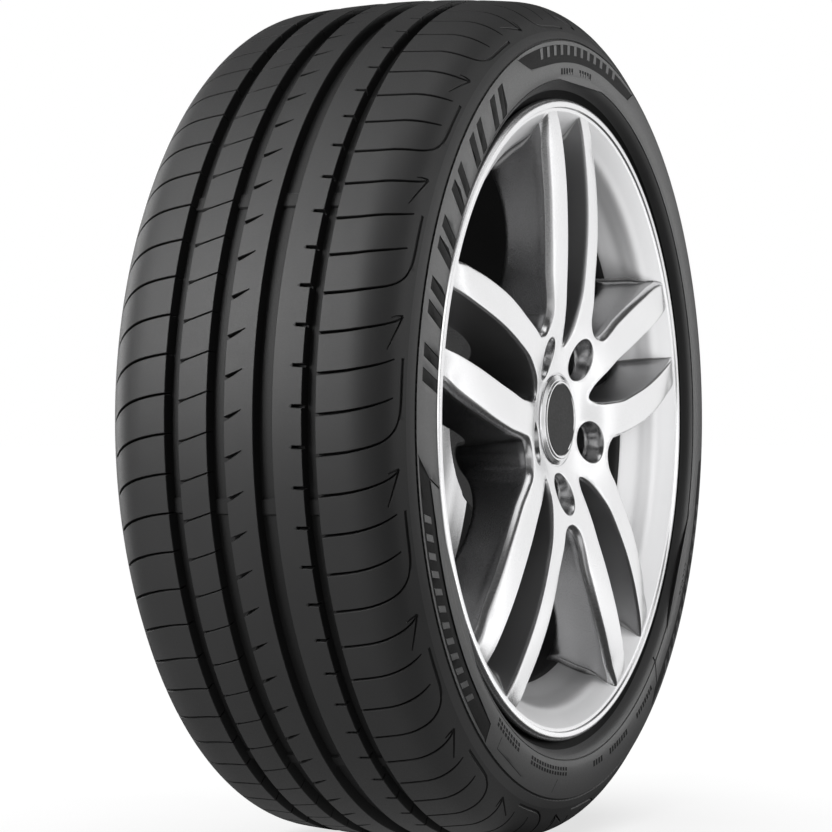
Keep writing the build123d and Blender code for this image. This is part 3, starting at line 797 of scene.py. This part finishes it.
def rim_section():
    """Closed section of the rim as (radius, y), with a material for each band."""
    front, kinds = [], []

    def add(points, kind):
        for q in points:
            if front and np.hypot(front[-1][0] - q[0], front[-1][1] - q[1]) < 1e-6:
                continue
            front.append((float(q[0]), float(q[1])))
            kinds.append(kind)

    add([(216.59, -82.0), (217.73, -95.1)], 0)
    add(arc3((217.73, -95.1), (219.62, -99.72), (224.8, -101.6), 4), 0)
    add([(233.0, -101.6)], 0)
    add(arc3((233.0, -101.6), (238.1, -104.0), (239.9, -108.2), 6), 0)
    add(arc3((239.9, -108.2), (239.0, -111.3), (236.6, -112.7), 6), 0)
    add([(236.2, -112.72), (234.2, -112.72), (233.5, -112.62), (233.1, -112.2), (232.9, -111.6), (232.6, -111.25),
         (231.6, -111.2), (231.0, -111.05), (230.4, -110.75)], 0)
    add([q for q in _wall if q[1] < -75.5], 2)
    # from y -75.5 backwards the barrel's inside takes material 1, near-black, as does the barrel's tyre side further
    # on: painted shade deep inside the rim
    add([q for q in _wall if q[1] >= -75.5], 1)
    add([(191.2, -20.0), (191.2, -6.0), (196.0, 24.0), (200.0, 40.0), (204.5, 58.0)], 1)
    add(smooth_line([(204.5, 58.0), (207.2, 67.0), (210.0, 76.0), (211.6, 86.0), (212.5, 95.0), (215.5, 101.5),
                     (221.0, 107.6), (225.0, 111.9)], 3), 0)
    add([(226.2, 112.6), (227.4, 112.72), (234.6, 112.72), (236.0, 112.6)], 0)
    add(arc3((236.0, 112.6), (238.2, 111.2), (238.9, 108.4), 5), 0)
    add(arc3((238.9, 108.4), (237.2, 104.0), (233.0, 101.6), 5), 0)
    add([(224.8, 101.6)], 0)
    add(arc3((224.8, 101.6), (219.62, 99.72), (217.73, 95.1), 4), 0)
    add([(216.59, 82.0), (217.5, 79.2), (214.6, 75.5), (209.0, 58.0), (200.5, 24.0), (196.0, 6.0), (196.0, -36.0),
         (197.0, -43.0), (200.0, -50.0), (211.0, -66.0), (215.6, -76.0), (217.5, -79.2), (216.59, -82.0)], 1)
    return front, kinds


def build_disc(mats):
    p = Patch()
    spoked_disc(p)
    return p.make("alloy_wheel_spokes", mats, 33.0)


def build_rim(mats):
    p = Patch()
    sec, kinds = rim_section()
    p.turned(sec, np.arange(0, 360, 1.25), np.array(kinds[1:]))
    ob = p.make("alloy_wheel_rim", mats, 33.0)
    # spot-faced pocket and hole for the valve
    cut = Patch()
    prof = [(0.0, -15.9), (11.5, -15.9), (11.5, -1.9), (5.75, -1.9), (5.75, 1.9), (10.0, 1.9), (10.5, 2.4),
            (10.5, 22.9), (0.0, 22.9)]
    cut.turned([(r, -t) for r, t in prof], np.arange(0, 360, 6), 2)
    tool = cut.make("valve_pocket", mats, 33.0)
    c, q = math.cos(math.radians(162.0)), math.sin(math.radians(162.0))
    out = Vector((-0.824 * c, -0.567, -0.824 * q)).normalized()
    tool.matrix_world = Matrix.Translation((0.20385 * c, -0.0591, 0.20385 * q)) @ \
        (-out).to_track_quat("Y", "Z").to_matrix().to_4x4()
    mod = ob.modifiers.new("pocket", "BOOLEAN")
    mod.operation, mod.solver, mod.object = "DIFFERENCE", "EXACT", tool
    bpy.context.view_layer.update()
    done = bpy.data.meshes.new_from_object(ob.evaluated_get(bpy.context.evaluated_depsgraph_get()))
    ob.modifiers.clear()
    ob.data = done
    bpy.data.objects.remove(tool)
    bm = bmesh.new()
    bm.from_mesh(done)
    bmesh.ops.triangulate(bm, faces=bm.faces)
    bm.to_mesh(done)
    bm.free()
    done.shade_smooth()
    done.set_sharp_from_angle(angle=math.radians(33.0))
    return ob


# ---- materials ---------------------------------------------------------------
class Nodes:
    """Small helper to wire a node material."""

    def __init__(self, name):
        self.mat = bpy.data.materials.new(name)
        self.mat.use_nodes = True
        self.nt = self.mat.node_tree
        self.nt.nodes.clear()
        self.out = self.nt.nodes.new("ShaderNodeOutputMaterial")
        self.bsdf = self.nt.nodes.new("ShaderNodeBsdfPrincipled")
        self.nt.links.new(self.bsdf.outputs[0], self.out.inputs[0])
        self.co = self.nt.nodes.new("ShaderNodeTexCoord").outputs["Object"]

    def new(self, kind, **values):
        n = self.nt.nodes.new(kind)
        for k, v in values.items():
            setattr(n, k, v)
        return n

    def link(self, a, b):
        self.nt.links.new(a, b)

    def set(self, **values):
        for k, v in values.items():
            self.bsdf.inputs[k.replace("_", " ")].default_value = v

    def noise(self, scale, detail=3.0, rough=0.55, vector=None):
        n = self.new("ShaderNodeTexNoise")
        n.inputs["Scale"].default_value = scale
        n.inputs["Detail"].default_value = detail
        n.inputs["Roughness"].default_value = rough
        self.link(vector or self.co, n.inputs["Vector"])
        return n.outputs["Fac"]

    def ramp(self, fac, stops):
        n = self.new("ShaderNodeValToRGB")
        e = n.color_ramp.elements
        while len(e) < len(stops):
            e.new(0.5)
        for el, (pos, col) in zip(e, stops):
            el.position = pos
            el.color = (*col, 1) if len(col) == 3 else col
        self.link(fac, n.inputs["Fac"])
        return n.outputs["Color"]

    def span(self, fac, lo, hi, a=0.0, b=1.0):
        n = self.new("ShaderNodeMapRange")
        n.inputs["From Min"].default_value = a
        n.inputs["From Max"].default_value = b
        n.inputs["To Min"].default_value = lo
        n.inputs["To Max"].default_value = hi
        self.link(fac, n.inputs["Value"])
        return n.outputs["Result"]

    def bump(self, height, strength, distance):
        n = self.new("ShaderNodeBump")
        n.inputs["Strength"].default_value = strength
        n.inputs["Distance"].default_value = distance
        self.link(height, n.inputs["Height"])
        self.link(n.outputs["Normal"], self.bsdf.inputs["Normal"])
        return n


def grey(v):
    return (v, v, v * 1.01)


def rubber(name, lo, hi, rough, spec=0.45, grain=900.0, bump=0.25):
    n = Nodes(name)
    big = n.noise(9.0, 4.0)
    n.link(n.ramp(big, [(0.3, grey(lo)), (0.7, grey(hi))]), n.bsdf.inputs["Base Color"])
    fine = n.noise(grain, 4.0, 0.6)
    n.link(n.span(fine, rough - 0.06, rough + 0.08, 0.3, 0.7), n.bsdf.inputs["Roughness"])
    n.bump(fine, bump, 0.0002)
    n.set(Specular_IOR_Level=spec)
    return n.mat


def alloy(name, base, rough, coat=0.3, flake=0.02):
    """Silver paint: fine metallic flake under a clear coat."""
    n = Nodes(name)
    big = n.noise(14.0, 3.0)
    n.link(n.ramp(big, [(0.3, grey(base * 0.96)), (0.7, grey(base))]), n.bsdf.inputs["Base Color"])
    fine = n.noise(2600.0, 2.0, 0.6)
    n.link(n.span(fine, rough - 0.02, rough + 0.03, 0.3, 0.7), n.bsdf.inputs["Roughness"])
    n.bump(fine, flake, 0.00005)
    n.set(Metallic=1.0, Coat_Weight=coat, Coat_Roughness=0.1)
    return n.mat


def plain(name, col, rough, metallic=0.0, grain=700.0, bump=0.2):
    n = Nodes(name)
    big = n.noise(60.0, 3.0)
    lo = tuple(c * 0.85 for c in col)
    n.link(n.ramp(big, [(0.3, lo), (0.7, col)]), n.bsdf.inputs["Base Color"])
    fine = n.noise(grain, 3.0)
    n.link(n.span(fine, rough - 0.05, rough + 0.06, 0.3, 0.7), n.bsdf.inputs["Roughness"])
    n.bump(fine, bump, 0.0001)
    n.set(Metallic=metallic)
    return n.mat


TREAD = rubber("tread_rubber", 0.028, 0.036, 0.52)
# darker rubber for grooves and cuts: painted shade in the recesses
GROOVE_SHADE = rubber("groove_painted_shade", 0.016, 0.020, 0.62, 0.35)
WALL_RUBBER = rubber("sidewall_rubber", 0.045, 0.055, 0.5)
# near-black rubber for the recessed panels, bars and blocks, and as painted shade in the gap behind the rim's lip
PANEL_AND_GAP_SHADE = rubber("panel_and_gap_shade_rubber", 0.009, 0.012, 0.68, 0.13)
MARK_RUBBER = rubber("mark_rubber", 0.05, 0.06, 0.48)
LINER = rubber("liner_rubber", 0.02, 0.026, 0.6)
SILVER = alloy("alloy_silver", 0.82, 0.27)
CAST = alloy("alloy_silver_rough", 0.8, 0.5, 0.0, 0.1)
# darker copies of the silver for the window walls: painted shade on a wheel that is silver all over
FLANK_SHADE = alloy("alloy_flank_shade", 0.3, 0.27, 0.0, 0.05)
SLOT_SHADE = alloy("alloy_slot_shade", 0.42, 0.42, 0.0, 0.1)
# darker silver for the bolt wells: painted shade inside them
WELL_SHADE = alloy("alloy_well_shade", 0.6, 0.22, 0.0, 0.1)
# near-black for the middle of the barrel: painted shade deep inside the rim
BARREL_SHADE = plain("barrel_painted_shade", (0.014, 0.014, 0.0145), 0.55)
CAP_SILVER = alloy("cap_silver", 0.8, 0.18)
CAP_BLACK = plain("cap_black", (0.012, 0.012, 0.0125), 0.6)
BRASS = plain("brass", (0.72, 0.52, 0.24), 0.3, 1.0)
STEEL = plain("spring_steel", (0.5, 0.5, 0.5), 0.3, 1.0)
SEAL = plain("seal_rubber", (0.02, 0.02, 0.02), 0.6)
CAP_PLASTIC = plain("valve_cap_plastic", (0.02, 0.02, 0.021), 0.45)
VALVE_RUBBER = rubber("valve_rubber", 0.02, 0.026, 0.55)

for node, mat in (("alloy_wheel", SILVER), ("centre_cap", CAP_SILVER), ("cap_disc", CAP_BLACK),
                  ("cap_spring_ring", STEEL), ("valve_body", VALVE_RUBBER), ("valve_stem", BRASS),
                  ("valve_core", BRASS), ("valve_core_seal", SEAL), ("valve_pin", BRASS),
                  ("valve_spring", STEEL), ("valve_cap", CAP_PLASTIC), ("valve_cap_seal", SEAL)):
    me = nodes[node].data
    me.materials.clear()
    me.materials.append(mat)

tyre = build_tyre([TREAD, GROOVE_SHADE, WALL_RUBBER, LINER, PANEL_AND_GAP_SHADE, MARK_RUBBER])
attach(tyre, "wheel")
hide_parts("tyre")
disc = build_disc([SILVER, WELL_SHADE, FLANK_SHADE, SLOT_SHADE])
rim = build_rim([SILVER, BARREL_SHADE, CAST])
for ob in (disc, rim):
    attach(ob, "wheel")
    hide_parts("alloy_wheel")
print("triangles", len(tyre.data.polygons), len(disc.data.polygons), len(rim.data.polygons))


# ---- floor, light and camera ---------------------------------------------------
def disc_mesh(name, radius, z, mat):
    a = np.radians(np.arange(0, 360, 5))
    verts = [(0, 0, z)] + [(radius * math.cos(t), radius * math.sin(t), z) for t in a]
    faces = [(0, 1 + i, 1 + (i + 1) % len(a)) for i in range(len(a))]
    me = bpy.data.meshes.new(name)
    me.from_pydata(verts, [], faces)
    me.materials.append(mat)
    ob = bpy.data.objects.new(name, me)
    scene.collection.objects.link(ob)
    return ob


fl = Nodes("floor_paint")
fl.link(fl.ramp(fl.noise(3.0), [(0.3, (0.2, 0.2, 0.2)), (0.7, (0.22, 0.22, 0.22))]), fl.bsdf.inputs["Base Color"])
fl.set(Roughness=0.8, Specular_IOR_Level=0.0, Emission_Strength=0.74)
fl.bsdf.inputs["Emission Color"].default_value = (1, 1, 1, 1)
floor = disc_mesh("floor", 30.0, -0.3175, fl.mat)
floor.visible_diffuse = False
floor.visible_glossy = False


def lit_set(name, objects):
    """Group of objects that a light can be kept to."""
    group = bpy.data.collections.new(name)
    for ob in objects:
        group.objects.link(ob)
    return group


ON_TYRE = lit_set("lit_tyre", [tyre])
ON_METAL = lit_set("lit_metal", [disc, rim] + [ob for name, ob in nodes.items() if name not in ("tyre", "alloy_wheel")])
ON_FLOOR = lit_set("lit_floor", [floor])


def area(name, place, target, size, size_y, glow, group):
    li = bpy.data.lights.new(name, "AREA")
    li.energy = glow * 4.0 * size * size_y
    li.shape = "RECTANGLE"
    li.size, li.size_y = size, size_y
    ob = bpy.data.objects.new(name, li)
    ob.location = place
    ob.rotation_mode = "QUATERNION"
    ob.rotation_quaternion = (Vector(target) - Vector(place)).to_track_quat("-Z", "Y")
    ob.visible_camera = False
    ob.light_linking.receiver_collection = group
    scene.collection.objects.link(ob)
    return ob


area("left_soft", (-2.3, 1.25, 1.1), (0, 0.0, 0.1), 1.2, 2.1, 7.3, ON_TYRE)
area("left_floor", (-1.3, 0.2, -0.3), (-1.3, 0.2, 0.5), 1.5, 1.8, 0.14, ON_TYRE)
area("under_soft", (-0.42, 0.05, -0.312), (-0.42, 0.05, 0.5), 0.7, 0.8, 0.23, ON_TYRE)
area("top_left", (-0.95, 1.05, 1.95), (-0.15, 0.0, 0.2), 1.0, 1.0, 2.7, ON_TYRE)
area("front_band", (1.0, -2.7, 0.3), (0, -0.1, 0), 1.7, 2.3, 3.2, ON_TYRE)
area("right_soft", (2.3, -1.95, 0.6), (0, -0.1, 0), 1.9, 1.8, 2.4, ON_TYRE)
area("back_rim", (0.7, 2.9, 0.6), (-0.1, 0.1, 0), 1.4, 2.2, 3.2, ON_TYRE)
area("top_soft", (-0.3, -0.4, 2.7), (0, 0, 0), 1.4, 1.4, 1.3, ON_TYRE)
area("face_soft", (3.0, -1.3, 0.15), (0, -0.1, 0), 3.4, 2.6, 0.76, ON_METAL)
area("front_soft", (1.5, -2.9, 0.2), (0, -0.1, 0), 2.2, 2.6, 0.66, ON_METAL)
area("edge_front", (-0.55, -2.95, 0.3), (0, -0.1, 0), 2.0, 2.2, 0.34, ON_METAL)
area("edge_left", (-2.15, -2.0, 0.3), (0, -0.1, 0), 2.2, 2.0, 0.15, ON_METAL)
area("side_strip", (-2.95, -0.65, 0.25), (0, -0.1, 0), 0.6, 1.9, 0.25, ON_METAL)
ON_RIM = lit_set("lit_rim", [rim])
area("lip_soft", (-1.35, -2.6, 0.8), (0, -0.1, 0), 2.5, 2.3, 1.2, ON_RIM)
area("rim_high", (0.9, -2.3, 1.9), (0.1, -0.1, -0.15), 2.2, 1.6, 0.7, ON_RIM)
area("barrel_soft", (-1.25, 2.3, 1.0), (0.2, 0.06, -0.06), 1.2, 1.8, 0.85, ON_RIM)
area("cap_soft", (-1.5, -2.6, 0.2), (0, -0.1, 0), 2.0, 2.2, 0.75, lit_set("lit_cap", [nodes["centre_cap"]]))
area("rear_soft", (-2.5, 1.3, 0.1), (0.2, 0.0, 0), 1.2, 2.0, 0.5, ON_RIM)
area("floor_front", (0.25, -1.25, -0.305), (0.25, -1.25, 0.5), 1.3, 1.5, 0.75, ON_RIM)
area("edge_right", (3.0, 0.3, 1.25), (0, -0.1, 0), 1.2, 1.6, 0.6, ON_METAL)
ON_FACE = lit_set("lit_face", [disc, nodes["centre_cap"], nodes["cap_disc"]])
area("low_face", (-0.6, -0.8, -0.305), (-0.6, -0.8, 0.5), 1.1, 1.1, 0.4, ON_FACE)
area("metal_top", (0.1, -0.7, 2.6), (0, -0.1, 0), 1.6, 1.6, 1.0, ON_METAL)
area("floor_glow", (0.6, -1.3, -0.3), (0.6, -1.3, 0.5), 2.4, 1.8, 0.14, ON_METAL)

sky = bpy.data.lights.new("floor_sky", "SUN")
sky.energy, sky.angle = 4.2, math.radians(70)
sky_ob = bpy.data.objects.new("floor_sky", sky)
sky_ob.light_linking.receiver_collection = ON_FLOOR
scene.collection.objects.link(sky_ob)

world = bpy.data.worlds.new("studio")
scene.world = world
world.use_nodes = True
wt = world.node_tree
wt.nodes.clear()
path = wt.nodes.new("ShaderNodeLightPath")
seen = wt.nodes.new("ShaderNodeBackground")
seen.inputs["Color"].default_value = (1, 1, 1, 1)
seen.inputs["Strength"].default_value = 1.0
fill = wt.nodes.new("ShaderNodeBackground")
fill.inputs["Color"].default_value = (1, 1, 1, 1)
fill.inputs["Strength"].default_value = 0.045
mix = wt.nodes.new("ShaderNodeMixShader")
wo = wt.nodes.new("ShaderNodeOutputWorld")
wt.links.new(path.outputs["Is Camera Ray"], mix.inputs[0])
wt.links.new(fill.outputs[0], mix.inputs[1])
wt.links.new(seen.outputs[0], mix.inputs[2])
wt.links.new(mix.outputs[0], wo.inputs[0])
scene.view_settings.view_transform = "Standard"

cam_data = bpy.data.cameras.new("camera")
cam_data.lens, cam_data.sensor_width = 137.76, 36.0
cam_data.clip_start, cam_data.clip_end = 0.05, 100.0
cam = bpy.data.objects.new("camera", cam_data)
cam.location = (-2.21266, -1.00824, 0.00330)
cam.rotation_mode = "QUATERNION"
cam.rotation_quaternion = Vector((0.90766, 0.41971, -0.0002)).to_track_quat("-Z", "Y")
scene.collection.objects.link(cam)
scene.camera = cam
